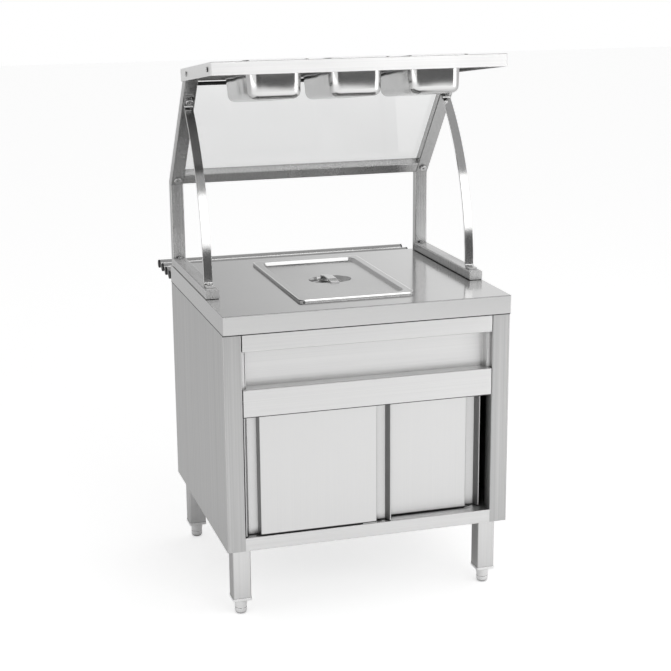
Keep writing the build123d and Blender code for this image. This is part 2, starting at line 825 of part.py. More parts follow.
for hand, sense in (("left", -1), ("right", 1)):
    x = sense * tube_x
    # Base tube with a welded cap at its front end
    with BuildPart() as base_tube:
        extrude(tube_section(base_back, x), amount=base_length)
        with BuildSketch(base_back.offset(base_length)):
            with Locations((x, tube_depth / 2)):
                RectangleRounded(tube_width, tube_depth, tube_corner)
        extrude(amount=-tube_wall)
        with BuildSketch(Plane.XY.offset(base_top)):
            for bolt_y in base_bolt_places:
                with Locations((x, bolt_y)):
                    Circle(bolt_radius + hole_clearance)
        extrude(amount=-tube_depth, mode=Mode.SUBTRACT)
    base_tube.part.label = f"base_tube_{hand}"
    export_step(base_tube.part, f"parts/base_tube_{hand}.step")

    # Post and upright, mitred together where the frame bends forward
    with BuildPart() as post:
        extrude(tube_section(Plane((0, post_y, worktop_height + gasket)), x), amount=post_height + tube_depth)
        split(bisect_by=mitre, keep=Keep.BOTTOM)
    post.part.label = f"post_{hand}"
    export_step(post.part, f"parts/post_{hand}.step")

    with BuildPart() as upright:
        extrude(tube_section(rake.offset(-tube_depth), x), amount=2 * tube_depth + glass_top + shelf_skirt)
        split(bisect_by=mitre, keep=Keep.TOP)
        split(bisect_by=arm_underside, keep=Keep.BOTTOM)
        with BuildSketch(server_face):
            with Locations((x, kink_bolt_place), (x, brace_bolt_place)):
                Circle(bolt_radius + hole_clearance)
        extrude(amount=-tube_depth, mode=Mode.SUBTRACT)
        with BuildSketch(server_face.offset(-tube_depth)):
            with Locations((x, glass_screw_place)):
                Circle(screw_radius + hole_clearance)
        extrude(amount=tube_wall, mode=Mode.SUBTRACT)
    upright.part.label = f"upright_{hand}"
    export_step(upright.part, f"parts/upright_{hand}.step")

    # Shelf arm across the top of the upright, inside the shelf's end
    with BuildPart() as shelf_arm:
        extrude(tube_section(arm_start, x), amount=shelf_depth - bend - arm_setback)
        with BuildSketch(Plane.YZ.offset(sense * inner_side)):
            with Locations(*shelf_screw_places):
                Circle(screw_radius + hole_clearance)
        extrude(amount=-sense * tube_wall, mode=Mode.SUBTRACT)
    shelf_arm.part.label = f"shelf_arm_{hand}"
    export_step(shelf_arm.part, f"parts/shelf_arm_{hand}.step")

    # Brace: a flat bar with a foot on the base tube, a long bow and a tab on the upright
    foot_level = base_top + brace_thickness / 2
    crease = kink + slope * brace_junction - outward * (brace_thickness / 2)
    tab_end = crease + slope * brace_tab
    with BuildPart() as brace:
        with BuildSketch(Plane.YZ.offset(x - brace_width / 2)):
            with BuildLine() as bow:
                Line((front + brace_place - brace_foot_length, foot_level), (front + brace_place, foot_level))
                SagittaArc((front + brace_place, foot_level), (crease.Y, crease.Z), brace_sagitta)
                Line((crease.Y, crease.Z), (tab_end.Y, tab_end.Z))
                fillet(bow.vertices().sort_by(Axis.X)[1::2], radius=brace_bend)
            trace(line_width=brace_thickness)
        extrude(amount=brace_width)
        with BuildSketch(Plane.XY.offset(base_top)):
            with Locations((x, front + base_bolt_front)):
                Circle(bolt_radius + hole_clearance)
        extrude(amount=brace_thickness, mode=Mode.SUBTRACT)
        with BuildSketch(server_face):
            with Locations((x, brace_bolt_place)):
                Circle(bolt_radius + hole_clearance)
        extrude(amount=brace_thickness, mode=Mode.SUBTRACT)
    brace.part.label = f"brace_{hand}"
    export_step(brace.part, f"parts/brace_{hand}.step")

# Lower rail between the uprights
rail_side = tube_x - tube_width / 2
rail_end = Plane((-rail_side, kink.Y, kink.Z), x_dir=outward, z_dir=(1, 0, 0))
with BuildPart() as lower_rail:
    with BuildSketch(rail_end):
        with Locations((tube_depth / 2, tube_width / 2)):
            RectangleRounded(tube_depth, tube_width, tube_corner)
            RectangleRounded(
                tube_depth - 2 * tube_wall,
                tube_width - 2 * tube_wall,
                tube_corner - tube_wall,
                mode=Mode.SUBTRACT,
            )
    extrude(amount=2 * rail_side)
lower_rail.part.label = "lower_rail"
export_step(lower_rail.part, "parts/lower_rail.step")

# Glass on the customer's side of the uprights
glass_width = 2 * (inner_side - glass_side_gap)
with BuildPart() as glass:
    with BuildSketch(server_face.offset(-tube_depth)):
        with Locations((0, (glass_foot + glass_top) / 2)):
            RectangleRounded(glass_width, glass_top - glass_foot, glass_corner)
        with Locations((-tube_x, kink_bolt_place), (tube_x, kink_bolt_place)):
            Circle(bolt_radius + 2 * hole_clearance, mode=Mode.SUBTRACT)
        with Locations((-tube_x, glass_screw_place), (tube_x, glass_screw_place)):
            Circle(screw_radius + 2 * hole_clearance, mode=Mode.SUBTRACT)
    extrude(amount=-glass_thickness)
glass.part.label = "glass"
export_step(glass.part, "parts/glass.step")

# Shelf: a sheet folded down on four sides, lipped at front and rear, cut out for three pans
with BuildPart() as shelf:
    with BuildSketch(shelf_underside):
        Rectangle(width, shelf_depth)
    extrude(amount=shelf_skirt)
    fillet(shelf.edges().filter_by(Axis((0, 0, 0), shelf_plane.z_dir)), radius=bend)
    fillet(shelf.faces().sort_by(Axis((0, 0, 0), shelf_plane.z_dir))[-1].edges(), radius=bend)
    offset(amount=-sheet, openings=shelf.faces().sort_by(Axis((0, 0, 0), shelf_plane.z_dir))[0])
    with BuildSketch(shelf_underside):
        for lip_middle in ((shelf_lip - shelf_depth) / 2, (shelf_depth - shelf_lip) / 2):
            with Locations((0, lip_middle)):
                Rectangle(2 * rail_side, shelf_lip)
    extrude(amount=sheet)
    with BuildSketch(shelf_plane):
        with Locations((-pan_pitch, 0), (0, 0), (pan_pitch, 0)):
            RectangleRounded(
                gn_third - 2 * rim + 2 * well_clearance,
                gn_short - 2 * rim + 2 * well_clearance,
                pan_corner + well_clearance,
            )
    extrude(amount=-sheet, mode=Mode.SUBTRACT)
    with BuildSketch(Plane.YZ):
        with Locations(*shelf_screw_places):
            Circle(screw_radius + hole_clearance)
    extrude(amount=side, both=True, mode=Mode.SUBTRACT)
shelf.part.label = "shelf"
export_step(shelf.part, "parts/shelf.step")

# The three pans hanging in it
third_body = gastronorm_pan(gn_third, gn_short)
for place, pan_x in (("left", -pan_pitch), ("middle", 0), ("right", pan_pitch)):
    with BuildPart() as shelf_pan:
        add(shelf_plane * Pos(pan_x, 0, 0) * third_body)
    shelf_pan.part.label = f"shelf_pan_{place}"
    export_step(shelf_pan.part, f"parts/shelf_pan_{place}.step")

# Tray slide: round tubes with end caps, resting in notched brackets
tray_places = [rear + tray_first + step * tray_pitch for step in range(tray_tubes)]
tray_half = side - cap_thickness
with BuildPart() as tray_slide_tubes:
    with BuildSketch(Plane.YZ.offset(-tray_half)):
        for tray_y in tray_places:
            with Locations((tray_y, tray_height)):
                Circle(tray_tube_radius)
                Circle(tray_tube_radius - tray_tube_wall, mode=Mode.SUBTRACT)
    extrude(amount=2 * tray_half)
tray_slide_tubes.part.label = "tray_slide_tubes"
export_step(tray_slide_tubes.part, "parts/tray_slide_tubes.step")

with BuildPart() as tray_slide_caps:
    for sense in (-1, 1):
        for tray_y in tray_places:
            with BuildSketch(Plane.YZ.offset(sense * tray_half)):
                with Locations((tray_y, tray_height)):
                    Circle(tray_tube_radius)
            extrude(amount=sense * cap_thickness)
            with BuildSketch(Plane.YZ.offset(sense * tray_half)):
                with Locations((tray_y, tray_height)):
                    Circle(tray_tube_radius - tray_tube_wall - stem_clearance)
            extrude(amount=-sense * 2 * cap_thickness)
    fillet(tray_slide_caps.faces().sort_by(Axis.X)[:tray_tubes].edges(), radius=cap_thickness / 3)
    fillet(tray_slide_caps.faces().sort_by(Axis.X)[-tray_tubes:].edges(), radius=cap_thickness / 3)
tray_slide_caps.part.label = "tray_slide_caps"
export_step(tray_slide_caps.part, "parts/tray_slide_caps.step")

for hand, sense in (("left", -1), ("right", 1)):
    with BuildPart() as tray_bracket:
        with BuildSketch(Plane.YZ.offset(sense * bracket_place - bracket_thickness / 2)):
            with BuildLine():
                Polyline(
                    (back_sheet, bracket_top),
                    (rear + joint_gap, bracket_top),
                    (rear + joint_gap, tray_height),
                    (tray_places[-1] + bracket_overrun, tray_height),
                    (tray_places[-1] + bracket_overrun, tray_height - bracket_tip),
                    (back_sheet, bracket_top - bracket_height),
                    close=True,
                )
            make_face()
            for tray_y in tray_places:
                with Locations((tray_y, tray_height)):
                    Circle(tray_tube_radius + tray_seat, mode=Mode.SUBTRACT)
        extrude(amount=bracket_thickness)
        with BuildSketch(Plane.XZ.offset(-back_sheet)):
            with Locations((sense * bracket_bolt_x, bracket_top - bracket_height / 2)):
                Rectangle(bracket_flange, bracket_height)
            for level in bracket_bolt_levels:
                with Locations((sense * bracket_bolt_x, level)):
                    Circle(screw_radius + hole_clearance, mode=Mode.SUBTRACT)
        extrude(amount=-bracket_thickness)
    tray_bracket.part.label = f"tray_bracket_{hand}"
    export_step(tray_bracket.part, f"parts/tray_bracket_{hand}.step")


def bolt_pieces(seat, shank, head, head_depth, reach):
    """A hex-socket bolt whose head stands on the seat plane and whose shank reaches below it."""
    with BuildPart() as bolt:
        with BuildSketch(seat):
            Circle(head)
        extrude(amount=head_depth)
        chamfer(bolt.faces().sort_by(Axis(seat.origin, seat.z_dir))[-1].edges(), length=head_chamfer)
        with BuildSketch(seat.offset(head_depth)):
            RegularPolygon(socket_radius, 6)
        extrude(amount=-head_depth / 2, mode=Mode.SUBTRACT)
        with BuildSketch(seat):
            Circle(shank)
        extrude(amount=-reach)
    return [bolt.part]


def nut_pieces(seat, shank, grip):
    """A hex nut below the grip that the bolt on this seat plane clamps."""
    with BuildPart() as nut:
        with BuildSketch(seat.offset(-grip)):
            RegularPolygon(nut_radius, 6)
            Circle(shank + stem_clearance, mode=Mode.SUBTRACT)
        extrude(amount=-nut_height)
    return [nut.part]


# Bolts that hold the base tubes down, the front pair through the braces' feet
base_pieces = []
for x in (-tube_x, tube_x):
    for bolt_y, seat_height in zip(base_bolt_places, (base_top + brace_thickness, base_top)):
        seat = Plane((x, bolt_y, seat_height))
        grip = seat_height - (worktop_height - sheet)
        base_pieces += bolt_pieces(seat, bolt_radius, head_radius, head_height, grip + nut_height)
        base_pieces += nut_pieces(seat, bolt_radius, grip)
with BuildPart() as base_bolts:
    add(base_pieces)
base_bolts.part.label = "base_bolts"
export_step(base_bolts.part, "parts/base_bolts.step")

# Large bolts: one pair through upright and glass by the kink, one pair through the braces' tabs
frame_pieces = []
for x in (-tube_x, tube_x):
    for place, level, grip in (
        (kink_bolt_place, 0, tube_depth + glass_thickness),
        (brace_bolt_place, brace_thickness, brace_thickness + tube_wall),
    ):
        seat = Plane(
            kink + slope * place - outward * level + Vector(x, 0, 0),
            x_dir=(1, 0, 0),
            z_dir=outward * -1,
        )
        frame_pieces += bolt_pieces(seat, bolt_radius, big_head_radius, big_head_height, grip + nut_height)
        frame_pieces += nut_pieces(seat, bolt_radius, grip)
with BuildPart() as frame_bolts:
    add(frame_pieces)
frame_bolts.part.label = "frame_bolts"
export_step(frame_bolts.part, "parts/frame_bolts.step")

# Screws: the glass to the uprights, the shelf's ends to its arms
screw_pieces = []
for sense in (-1, 1):
    glass_seat = Plane(
        kink
        + slope * glass_screw_place
        + outward * (tube_depth + glass_thickness)
        + Vector(sense * tube_x, 0, 0),
        x_dir=(1, 0, 0),
        z_dir=outward,
    )
    end_seats = [
        Plane((sense * side, screw_y, screw_z), x_dir=(0, 1, 0), z_dir=(sense, 0, 0))
        for screw_y, screw_z in shelf_screw_places
    ]
    for seat in (glass_seat, *end_seats):
        screw_pieces += bolt_pieces(seat, screw_radius, screw_head_radius, screw_head_height, screw_length)
with BuildPart() as frame_screws:
    add(screw_pieces)
frame_screws.part.label = "frame_screws"
export_step(frame_screws.part, "parts/frame_screws.step")

# Bolts through the brackets' flanges and the back panel
bracket_pieces = []
for x in (-bracket_bolt_x, bracket_bolt_x):
    for level in bracket_bolt_levels:
        seat = Plane((x, back_sheet + bracket_thickness, level), x_dir=(1, 0, 0), z_dir=(0, 1, 0))
        grip = bracket_thickness + sheet
        bracket_pieces += bolt_pieces(seat, screw_radius, screw_head_radius, head_height, grip + nut_height)
        bracket_pieces += nut_pieces(seat, screw_radius, grip)
with BuildPart() as bracket_bolts:
    add(bracket_pieces)
bracket_bolts.part.label = "bracket_bolts"
export_step(bracket_bolts.part, "parts/bracket_bolts.step")
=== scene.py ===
import json
import math

import bmesh
import bpy
from mathutils import Matrix, Vector


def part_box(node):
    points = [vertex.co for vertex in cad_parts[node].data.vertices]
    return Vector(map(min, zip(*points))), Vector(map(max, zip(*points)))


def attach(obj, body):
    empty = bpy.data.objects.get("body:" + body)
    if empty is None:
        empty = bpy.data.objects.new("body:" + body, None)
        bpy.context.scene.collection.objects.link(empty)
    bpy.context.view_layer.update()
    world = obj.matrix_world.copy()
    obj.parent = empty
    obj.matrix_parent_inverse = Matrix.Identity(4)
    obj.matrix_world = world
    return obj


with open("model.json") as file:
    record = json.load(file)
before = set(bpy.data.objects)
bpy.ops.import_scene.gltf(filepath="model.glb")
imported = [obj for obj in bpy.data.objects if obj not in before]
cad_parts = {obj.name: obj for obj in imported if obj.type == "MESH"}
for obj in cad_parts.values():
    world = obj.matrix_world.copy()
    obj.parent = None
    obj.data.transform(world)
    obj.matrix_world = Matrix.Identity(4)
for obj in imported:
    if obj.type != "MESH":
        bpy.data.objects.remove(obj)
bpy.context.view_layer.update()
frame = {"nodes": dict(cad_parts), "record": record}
nodes = frame["nodes"]
print("frame loaded:", len(nodes), "nodes")


def lin(value):
    # a tone as seen on screen, 0-255, to the linear value that the shader wants
    s = value / 255
    return s / 12.92 if s <= 0.04045 else ((s + 0.055) / 1.055) ** 2.4


def grey(value, warm=0.0):
    base = lin(value)
    return (base * (1 + warm), base, base * (1 - warm), 1)


# camera at the photograph's place
cameraSetup = {
    "place": (-1.208958, -4.156882, 1.771144),
    "turn": 0.291866,
    "tip": 0.251839,
    "roll": -0.007521,
    "lens": 1519.596 / 671 * 36,
    "sensor": 36,
    "farthest": 60,
}


def makeCamera(setup):
    turn, tip, roll = setup["turn"], setup["tip"], setup["roll"]
    ahead = Vector((math.sin(turn) * math.cos(tip), math.cos(turn) * math.cos(tip), -math.sin(tip)))
    right = Vector((math.cos(turn), -math.sin(turn), 0))
    up = right.cross(ahead)
    across = right * math.cos(roll) + up * math.sin(roll)
    upright = up * math.cos(roll) - right * math.sin(roll)
    data = bpy.data.cameras.new("camera")
    data.lens = setup["lens"]
    data.sensor_width = setup["sensor"]
    data.clip_end = setup["farthest"]
    camera = bpy.data.objects.new("camera", data)
    camera.matrix_world = Matrix((
        (across.x, upright.x, -ahead.x, setup["place"][0]),
        (across.y, upright.y, -ahead.y, setup["place"][1]),
        (across.z, upright.z, -ahead.z, setup["place"][2]),
        (0, 0, 0, 1),
    ))
    bpy.context.scene.collection.objects.link(camera)
    bpy.context.scene.camera = camera


makeCamera(cameraSetup)
print("camera placed")


# small helpers for node trees
def newNode(tree, kind, place=(0, 0), **values):
    node = tree.nodes.new(kind)
    node.location = place
    for name, value in values.items():
        setattr(node, name, value)
    return node


def mathNode(tree, operation, first, second=None, clamp=False):
    node = newNode(tree, "ShaderNodeMath", operation=operation, use_clamp=clamp)
    for index, value in enumerate((first, second)):
        if value is None:
            continue
        if isinstance(value, (int, float)):
            node.inputs[index].default_value = value
        else:
            tree.links.new(value, node.inputs[index])
    return node.outputs[0]


def mapRange(tree, value, low, high, toLow, toHigh):
    node = newNode(tree, "ShaderNodeMapRange")
    tree.links.new(value, node.inputs["Value"])
    for name, number in (("From Min", low), ("From Max", high), ("To Min", toLow), ("To Max", toHigh)):
        if isinstance(number, (int, float)):
            node.inputs[name].default_value = number
        else:
            tree.links.new(number, node.inputs[name])
    return node.outputs["Result"]


def makeGroup(name, inputs, outputs):
    tree = bpy.data.node_groups.new(name, "ShaderNodeTree")
    for label, kind, value in inputs:
        socket = tree.interface.new_socket(label, in_out="INPUT", socket_type=kind)
        socket.default_value = value
    for label, kind in outputs:
        tree.interface.new_socket(label, in_out="OUTPUT", socket_type=kind)
    start = newNode(tree, "NodeGroupInput", (-900, 0))
    end = newNode(tree, "NodeGroupOutput", (900, 0))
    return tree, start.outputs, end.inputs


# brushing: long fine lines along one direction, with slower streaks among them
brushingNoise = {
    "Lines": {"stretch": "Stretch", "detail": 3},
    "Streaks": {"stretch": "Streak", "detail": 4},
}


def makeBrushing(setup):
    tree, given, out = makeGroup(
        "brushing",
        (("Stretch", "NodeSocketVector", (4, 900, 900)), ("Streak", "NodeSocketVector", (1, 40, 40))),
        (("Lines", "NodeSocketFloat"), ("Streaks", "NodeSocketFloat")),
    )
    coords = newNode(tree, "ShaderNodeTexCoord")
    for result, values in setup.items():
        scaled = newNode(tree, "ShaderNodeVectorMath", operation="MULTIPLY")
        tree.links.new(coords.outputs["Object"], scaled.inputs[0])
        tree.links.new(given[values["stretch"]], scaled.inputs[1])
        noise = newNode(tree, "ShaderNodeTexNoise")
        noise.inputs["Scale"].default_value = 1
        noise.inputs["Detail"].default_value = values["detail"]
        tree.links.new(scaled.outputs[0], noise.inputs["Vector"])
        tree.links.new(noise.outputs["Fac"], out[result])
    return tree


# handling: broad cloudy changes where a surface is wiped and touched, and fine specks
handlingNoise = {"cloudDetail": 5, "cloudRoughness": 0.6, "speckScale": 260, "speckDetail": 2}


def makeHandling(setup):
    tree, given, out = makeGroup(
        "handling",
        (("Size", "NodeSocketFloat", 5.0), ("Seed", "NodeSocketFloat", 0.0)),
        (("Cloud", "NodeSocketFloat"), ("Specks", "NodeSocketFloat")),
    )
    coords = newNode(tree, "ShaderNodeTexCoord")
    cloud = newNode(tree, "ShaderNodeTexNoise", noise_dimensions="4D")
    cloud.inputs["Detail"].default_value = setup["cloudDetail"]
    cloud.inputs["Roughness"].default_value = setup["cloudRoughness"]
    tree.links.new(coords.outputs["Object"], cloud.inputs["Vector"])
    tree.links.new(given["Size"], cloud.inputs["Scale"])
    tree.links.new(given["Seed"], cloud.inputs["W"])
    specks = newNode(tree, "ShaderNodeTexNoise")
    specks.inputs["Scale"].default_value = setup["speckScale"]
    specks.inputs["Detail"].default_value = setup["speckDetail"]
    tree.links.new(coords.outputs["Object"], specks.inputs["Vector"])
    tree.links.new(cloud.outputs["Fac"], out["Cloud"])
    tree.links.new(specks.outputs["Fac"], out["Specks"])
    return tree


# soft edges: where a fold or a cut edge is, and the rounded normal there
softEdgeSearch = {"samples": 6, "gain": 5.0}


def makeSoftEdges(setup):
    tree, given, out = makeGroup(
        "softEdges",
        (("Radius", "NodeSocketFloat", 0.0012), ("Amount", "NodeSocketFloat", 1.0)),
        (("Edge", "NodeSocketFloat"), ("Normal", "NodeSocketVector")),
    )
    bevel = newNode(tree, "ShaderNodeBevel", samples=setup["samples"])
    tree.links.new(given["Radius"], bevel.inputs["Radius"])
    geometry = newNode(tree, "ShaderNodeNewGeometry")
    dot = newNode(tree, "ShaderNodeVectorMath", operation="DOT_PRODUCT")
    tree.links.new(bevel.outputs["Normal"], dot.inputs[0])
    tree.links.new(geometry.outputs["Normal"], dot.inputs[1])
    gap = mathNode(tree, "SUBTRACT", 1.0, dot.outputs["Value"], clamp=True)
    found = mathNode(tree, "MULTIPLY", gap, setup["gain"], clamp=True)
    tree.links.new(mathNode(tree, "MULTIPLY", found, given["Amount"]), out["Edge"])
    tree.links.new(bevel.outputs["Normal"], out["Normal"])
    return tree


# painted shade: the base colour is darkened in folds, gaps and corners that ambient occlusion finds,
# and on whole faces that point sideways, forward or down
# how occlusion and facing turn into painted shade, and the dark tone the colour is multiplied towards
paintedShadeSetup = {"samples": 6, "hidden": (0.25, 0.8), "facing": (0.3, 0.6), "tone": 0.1}


def makePaintedShade(setup):
    tree, given, out = makeGroup(
        "paintedShade",
        (
            ("Color", "NodeSocketColor", (0.6, 0.6, 0.6, 1)),
            ("Reach", "NodeSocketFloat", 0.02),
            ("Depth", "NodeSocketFloat", 0.7),
            ("Facing", "NodeSocketVector", (0, 0, 0)),
        ),
        (("Color", "NodeSocketColor"),),
    )
    hidden = newNode(tree, "ShaderNodeAmbientOcclusion", samples=setup["samples"])
    tree.links.new(given["Reach"], hidden.inputs["Distance"])
    share = mapRange(tree, hidden.outputs["AO"], *setup["hidden"], 1, 0)
    share = mathNode(tree, "MULTIPLY", share, given["Depth"])
    geometry = newNode(tree, "ShaderNodeNewGeometry")
    facing = newNode(tree, "ShaderNodeSeparateXYZ")
    tree.links.new(geometry.outputs["True Normal"], facing.inputs[0])
    amounts = newNode(tree, "ShaderNodeSeparateXYZ")
    tree.links.new(given["Facing"], amounts.inputs[0])
    # either way counts for X and Y, but only downward counts for Z
    turned = {
        "X": mathNode(tree, "ABSOLUTE", facing.outputs["X"]),
        "Y": mathNode(tree, "ABSOLUTE", facing.outputs["Y"]),
        "Z": mathNode(tree, "MULTIPLY", facing.outputs["Z"], -1),
    }
    for axis, value in turned.items():
        facingShadeAndSmudge = mapRange(tree, value, *setup["facing"], 0, amounts.outputs[axis])
        share = mathNode(tree, "MAXIMUM", share, facingShadeAndSmudge)
    # painted shade: the colour is multiplied towards the dark tone by the share
    paintedShadeMixed = newNode(tree, "ShaderNodeMix", data_type="RGBA", blend_type="MULTIPLY")
    tree.links.new(share, paintedShadeMixed.inputs["Factor"])
    tree.links.new(given["Color"], paintedShadeMixed.inputs["A"])
    paintedShadeMixed.inputs["B"].default_value = (setup["tone"], setup["tone"], setup["tone"], 1)
    tree.links.new(paintedShadeMixed.outputs["Result"], out["Color"])
    return tree


# crown: the slight outward swell of the shelf pans' pressed walls, measured along the shelf's tilt
crownShape = {
    "tilt": (0, 0.11667, 0.99317),
    "middle": 1.4065,
    "curve": 1.7,
    "reach": 0.07,
    "rippleScale": 11,
    "rippleDetail": 1,
    "rippleHeight": 0.0022,
}


def makeCrown(setup):
    tree, given, out = makeGroup(
        "crown",
        (
            ("Tilt", "NodeSocketVector", setup["tilt"]),
            ("Middle", "NodeSocketFloat", setup["middle"]),
            ("Curve", "NodeSocketFloat", setup["curve"]),
            ("Reach", "NodeSocketFloat", setup["reach"]),
        ),
        (("Height", "NodeSocketFloat"),),
    )
    coords = newNode(tree, "ShaderNodeTexCoord")
    level = newNode(tree, "ShaderNodeVectorMath", operation="DOT_PRODUCT")
    tree.links.new(coords.outputs["Object"], level.inputs[0])
    tree.links.new(given["Tilt"], level.inputs[1])
    rise = mathNode(tree, "SUBTRACT", level.outputs["Value"], given["Middle"])
    # level beyond the pans' own height, so that other pieces of this steel keep their shape
    rise = mathNode(tree, "MINIMUM", mathNode(tree, "ABSOLUTE", rise), given["Reach"])
    swell = mathNode(tree, "MULTIPLY", mathNode(tree, "MULTIPLY", rise, rise), given["Curve"])
    ripple = newNode(tree, "ShaderNodeTexNoise")
    ripple.inputs["Scale"].default_value = setup["rippleScale"]
    ripple.inputs["Detail"].default_value = setup["rippleDetail"]
    tree.links.new(coords.outputs["Object"], ripple.inputs["Vector"])
    uneven = mathNode(tree, "MULTIPLY", ripple.outputs["Fac"], setup["rippleHeight"])
    tree.links.new(mathNode(tree, "SUBTRACT", uneven, swell), out["Height"])
    return tree


# steep wall: leans the normal of the lid's sloping rear wall forward, as a deeper pressing would
steepWallShape = {"normal": (0, -0.927, 0.375), "forward": (-0.35, -0.55), "upward": (0.6, 0.7)}


def makeSteepWall(setup):
    tree, given, out = makeGroup(
        "steepWall",
        (("Normal", "NodeSocketVector", (0, 0, 1)), ("Steep", "NodeSocketVector", setup["normal"])),
        (("Normal", "NodeSocketVector"),),
    )
    geometry = newNode(tree, "ShaderNodeNewGeometry")
    facing = newNode(tree, "ShaderNodeSeparateXYZ")
    tree.links.new(geometry.outputs["True Normal"], facing.inputs[0])
    forward = mapRange(tree, facing.outputs["Y"], *setup["forward"], 0, 1)
    upward = mapRange(tree, facing.outputs["Z"], *setup["upward"], 0, 1)
    mix = newNode(tree, "ShaderNodeMix", data_type="VECTOR")
    tree.links.new(mathNode(tree, "MULTIPLY", forward, upward), mix.inputs["Factor"])
    tree.links.new(given["Normal"], mix.inputs["A"])
    tree.links.new(given["Steep"], mix.inputs["B"])
    tree.links.new(mix.outputs["Result"], out["Normal"])
    return tree


brushing = makeBrushing(brushingNoise)
paintedShade = makePaintedShade(paintedShadeSetup)
steepWall = makeSteepWall(steepWallShape)
crown = makeCrown(crownShape)
handling = makeHandling(handlingNoise)
softEdges = makeSoftEdges(softEdgeSearch)
print("shared effects built")


def placeGroup(tree, group, values):
    node = newNode(tree, "ShaderNodeGroup", node_tree=group)
    for name, value in values.items():
        node.inputs[name].default_value = value
    return node


def startMaterial(name):
    material = bpy.data.materials.new(name)
    material.use_nodes = True
    tree = material.node_tree
    tree.nodes.clear()
    shader = newNode(tree, "ShaderNodeBsdfPrincipled", (600, 0))
    surface = newNode(tree, "ShaderNodeOutputMaterial", (900, 0))
    tree.links.new(shader.outputs[0], surface.inputs[0])
    return material, tree, shader


def mixColours(tree, mask, first, second):
    mix = newNode(tree, "ShaderNodeMix", data_type="RGBA")
    tree.links.new(mask, mix.inputs["Factor"])
    for socket, value in ((mix.inputs["A"], first), (mix.inputs["B"], second)):
        if isinstance(value, tuple):
            socket.default_value = value
        else:
            tree.links.new(value, socket)
    return mix.outputs["Result"]


# a fine and a slow stretch of the brushing for each direction
grainAlong = {
    "x": ((2, 1300, 1300), (0.8, 170, 170)),
    "z": ((1300, 1300, 2), (170, 170, 0.8)),
    "none": ((420, 420, 420), (9, 9, 9)),
}

# stainless steels: dark and bright tones (0-255), roughness range, grain, how deep it is and how
# streaky. paintedShade is the reach and depth of the painted shade in corners, facingShadeAndSmudge the
# painted shade on faces that point along X, along Y and down, and edge the radius of the soft edges
steels = {
    "worktop_steel": {
        "dark": 184, "bright": 196, "rough": (0.09, 0.13), "grain": "x", "bump": 0.012, "streak": 0.2,
        "paintedShade": (0.01, 0.25), "facingShadeAndSmudge": (0.16, 0.13, 0),
    },
    # the side panels' steel is set darker than the front steel: painted shade
    "panel_steel": {
        "dark": 172, "bright": 200, "rough": (0.34, 0.39), "grain": "z", "bump": 0.04, "streak": 0.5,
        "facingShadeAndSmudge": (0, 0.12, 0),
    },
    "front_steel": {
        "dark": 199, "bright": 217, "rough": (0.34, 0.39), "grain": "x", "bump": 0.03, "streak": 0.2,
        "paintedShade": (0.015, 0.25),
    },
    "door_steel": {
        "dark": 202, "bright": 212, "rough": (0.34, 0.39), "grain": "z", "bump": 0.03, "streak": 0.05,
        "facingShadeAndSmudge": (0.55, 0, 0),
    },
    # the inner parts' steel in much darker tones than the outer steels: painted shade
    "inner_steel": {
        "dark": 106, "bright": 130, "rough": (0.4, 0.5), "grain": "x", "bump": 0.05, "streak": 0.3,
    },
    "leg_steel": {
        "dark": 196, "bright": 216, "rough": (0.26, 0.34), "grain": "z", "bump": 0.04, "streak": 0.3,
        "facingShadeAndSmudge": (0.28, 0, 0),
    },
    # the feet's steel in brighter tones than the legs: painted light
    "foot_steel": {
        "dark": 228, "bright": 240, "rough": (0.12, 0.2), "grain": "none", "bump": 0.01, "streak": 0.2,
    },
    "frame_steel": {
        "dark": 168, "bright": 194, "rough": (0.2, 0.28), "grain": "z", "bump": 0.04, "streak": 0.45,
    },
    "brace_steel": {
        "dark": 194, "bright": 212, "rough": (0.08, 0.14), "grain": "z", "bump": 0.02, "streak": 0.3,
        "facingShadeAndSmudge": (0, 0, 0.6),
    },
    "shelf_steel": {
        "dark": 214, "bright": 236, "rough": (0.3, 0.38), "grain": "x", "bump": 0.03, "streak": 0.2,
        "facingShadeAndSmudge": (0, 0, 0.88),
    },
    "pan_steel": {
        "dark": 200, "bright": 210, "rough": (0.1, 0.16), "grain": "none", "bump": 0.01, "streak": 0.1,
        "paintedShade": (0.012, 0.5), "crowned": True,
    },
    "lid_steel": {
        "dark": 180, "bright": 196, "rough": (0.14, 0.2), "grain": "x", "bump": 0.02, "streak": 0.2,
        "paintedShade": (0.008, 0.4), "edge": 0.003, "steepRear": True,
    },
    "tray_steel": {
        "dark": 186, "bright": 204, "rough": (0.2, 0.28), "grain": "x", "bump": 0.03, "streak": 0.4,
    },
    "fastener_steel": {
        "dark": 186, "bright": 206, "rough": (0.12, 0.2), "grain": "none", "bump": 0.01, "streak": 0.2,
    },
}

# what all the steels share, and what a steel has when its own look doesn't say
steelWear = {
    "cloudSize": 4.0,
    "spread": (0.3, 0.7),
    "cloudShare": 0.7,
    "lineShare": 0.4,
    "warm": 0.004,
    "edge": 0.0012,
    "edgeAmount": 0.7,
    # how far the painted edge highlight lifts the bright tone, and its limit
    "edgeHighlightLift": 16,
    "edgeHighlightTop": 240,
    "paintedShade": (0.022, 0.7),
    "lineRough": 0.06,
    "bumpDepth": 0.001,
    "anisotropic": 0.4,
}


